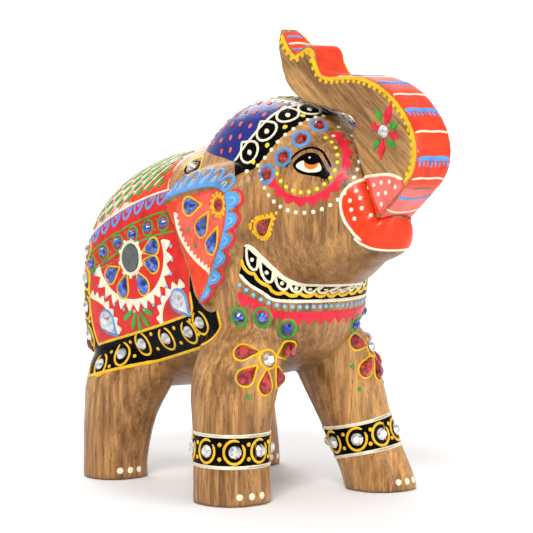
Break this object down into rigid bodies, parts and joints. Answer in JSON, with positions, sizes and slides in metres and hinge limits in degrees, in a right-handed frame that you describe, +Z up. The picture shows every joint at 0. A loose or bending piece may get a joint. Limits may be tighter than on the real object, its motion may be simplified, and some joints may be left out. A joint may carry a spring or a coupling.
{
  "type": "carved wooden elephant figurine",
  "caption": "Free-standing carved and painted wooden elephant with raised trunk, saddle cloth, small flank mirrors and glued glass stones; a shelf ornament.",
  "frame": {"origin": "under the middle of the figure, on the plane of the soles", "axes": "-Y the way the elephant faces, +X its own left, +Z up"},
  "size_m": [0.1041, 0.1998, 0.1974],
  "materials": {
    "body_wood": "mango wood, satin varnish, painted ornament over it",
    "trunk_wood": "paler mango wood, satin varnish, front edge painted",
    "dowel_wood": "plain turned hardwood",
    "mirror_glass": "small silvered mirror disc",
    "blue_stone": "faceted foil-backed blue glass",
    "ruby_stone": "faceted foil-backed ruby glass",
    "clear_stone": "faceted foil-backed clear glass"
  },
  "bodies": {
    "root": {"anklet_crystals_left": "clear_stone", "anklet_crystals_right": "clear_stone", "blanket_petals_left": "blue_stone", "blanket_petals_right": "blue_stone", "blanket_rounds_left": "blue_stone", "blanket_rounds_right": "blue_stone", "border_crystals_left": "clear_stone", "border_crystals_right": "clear_stone", "brow_rubies_left": "ruby_stone", "brow_rubies_right": "ruby_stone", "carved_body": "body_wood", "carved_trunk": "trunk_wood", "cheek_ruby_left": "ruby_stone", "cheek_ruby_right": "ruby_stone", "chest_rounds_left": "blue_stone", "chest_rounds_right": "blue_stone", "clear_pears_left": "clear_stone", "clear_pears_right": "clear_stone", "crown_crystal": "clear_stone", "ear_pears_left": "blue_stone", "ear_pears_right": "blue_stone", "ear_round_left": "ruby_stone", "ear_round_right": "ruby_stone", "foreleg_crystal_left": "clear_stone", "foreleg_crystal_right": "clear_stone", "foreleg_rubies_left": "ruby_stone", "foreleg_rubies_right": "ruby_stone", "mirror_left": "mirror_glass", "mirror_right": "mirror_glass", "neck_crystal_left": "clear_stone", "neck_crystal_right": "clear_stone", "rump_rubies": "ruby_stone", "spine_crystals": "clear_stone", "trunk_crystal_left": "clear_stone", "trunk_crystal_right": "clear_stone", "trunk_dowel": "dowel_wood"}
  },
  "joints": []
}
